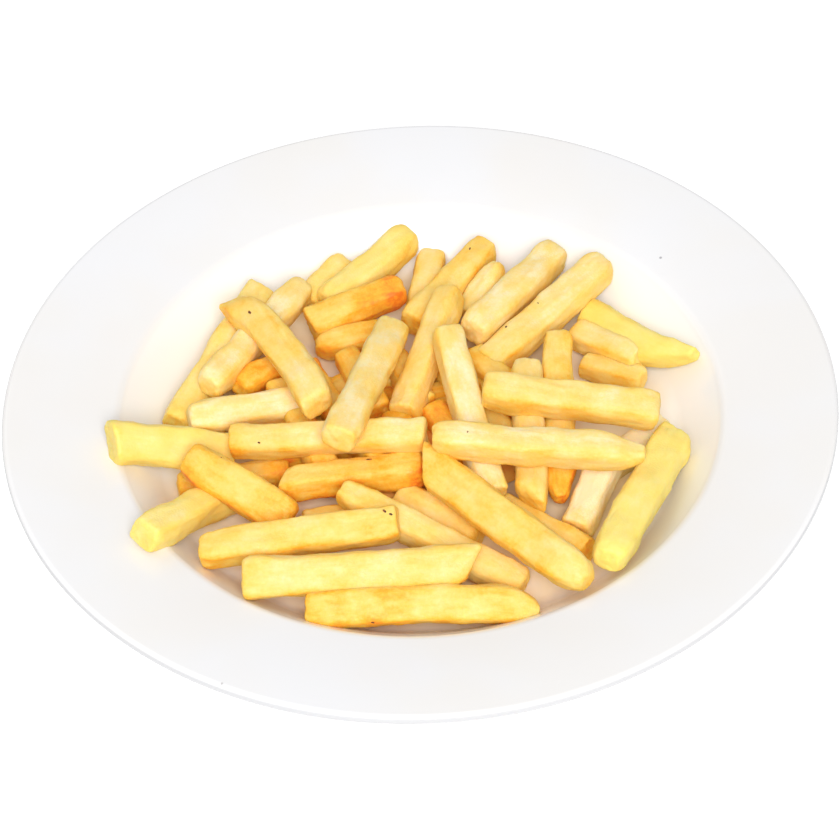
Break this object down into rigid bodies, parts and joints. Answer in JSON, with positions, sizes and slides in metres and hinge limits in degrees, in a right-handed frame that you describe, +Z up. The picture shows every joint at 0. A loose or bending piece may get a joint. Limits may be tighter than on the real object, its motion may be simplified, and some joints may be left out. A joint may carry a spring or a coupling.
{
  "type": "french fries portion",
  "caption": "Heap of straight-cut golden french fries lying across one another in the well of a round white plate with a wide, gently rising rim and a foot ring",
  "frame": {"origin": "on the plate's axis at table level, under the foot ring", "axes": "+Z up; the plate is round about Z; the heap's front, with three fries lying side by side along X, faces -Y"},
  "size_m": [0.3, 0.3, 0.0513],
  "materials": {
    "plate_glaze": "smooth glossy white glaze",
    "fried_potato": null
  },
  "bodies": {
    "root": {"plate": "plate_glaze", "fries_heap": "fried_potato"}
  },
  "joints": []
}
